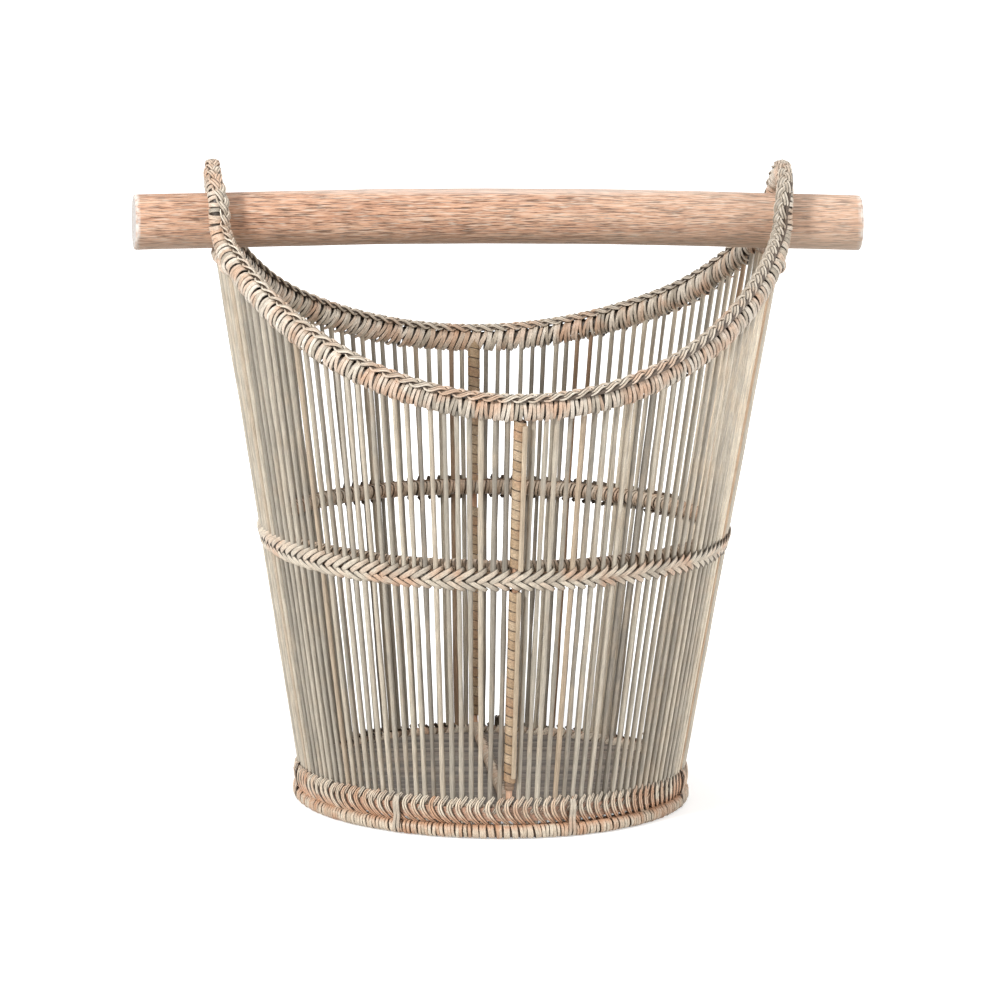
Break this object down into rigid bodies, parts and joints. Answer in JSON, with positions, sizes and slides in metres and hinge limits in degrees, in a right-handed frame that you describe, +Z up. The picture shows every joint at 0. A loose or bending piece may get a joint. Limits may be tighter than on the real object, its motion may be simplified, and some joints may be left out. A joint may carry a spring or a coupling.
{
  "type": "foraging basket",
  "caption": "Round openwork basket of upright rods with a saddle rim, a wooden bar carried across the mouth in two rim eyes, and a bound foot.",
  "frame": {"origin": "on the ground under the middle of the foot ring", "axes": "+X along the handle bar, -Y towards the front, +Z up"},
  "size_m": [0.45, 0.3296, 0.3995],
  "materials": {
    "bar_wood": "satin",
    "rim_cane": "matte",
    "braid_cane": "matte",
    "stave_rattan": "matte",
    "band_cane": "matte",
    "hoop_cane": "matte",
    "foot_cane": "matte",
    "tie_cane": "matte",
    "frame_rattan": "matte",
    "binding_cane": "matte",
    "floor_rattan": "matte"
  },
  "bodies": {
    "basket": {"rim_hoop": "rim_cane", "rim_braid": "braid_cane", "eye_bar_right": "hoop_cane", "eye_bar_left": "hoop_cane", "wall_panel_01": "stave_rattan", "wall_panel_02": "stave_rattan", "wall_panel_03": "stave_rattan", "wall_panel_04": "stave_rattan", "wall_panel_05": "stave_rattan", "wall_panel_06": "stave_rattan", "wall_panel_07": "stave_rattan", "wall_panel_08": "stave_rattan", "wall_panel_09": "stave_rattan", "wall_panel_10": "stave_rattan", "wall_panel_11": "stave_rattan", "wall_panel_12": "stave_rattan", "wall_panel_13": "stave_rattan", "wall_panel_14": "stave_rattan", "wall_panel_15": "stave_rattan", "wall_panel_16": "stave_rattan", "wall_panel_17": "stave_rattan", "wall_panel_18": "stave_rattan", "wall_panel_19": "stave_rattan", "wall_panel_20": "stave_rattan", "wall_panel_21": "stave_rattan", "wall_panel_22": "stave_rattan", "mid_hoop": "hoop_cane", "base_band": "band_cane", "foot_ring": "foot_cane", "base_hoop": "hoop_cane", "base_tie_1": "tie_cane", "base_tie_2": "tie_cane", "base_tie_3": "tie_cane", "base_tie_4": "tie_cane", "base_tie_5": "tie_cane", "base_tie_6": "tie_cane", "base_tie_7": "tie_cane", "floor_mat": "floor_rattan", "stake_frame": "frame_rattan", "front_lower_binding": "binding_cane", "front_upper_binding": "binding_cane", "back_lower_binding": "binding_cane", "back_upper_binding": "binding_cane", "spine_binding": "binding_cane"},
    "handle": {"handle_bar": "bar_wood"}
  },
  "joints": [
    {"name": "bar_turn", "type": "hinge", "parent": "basket", "child": "handle", "pos_m": [0, 0, 0.362], "axis": [1, 0, 0], "continuous": true}
  ]
}
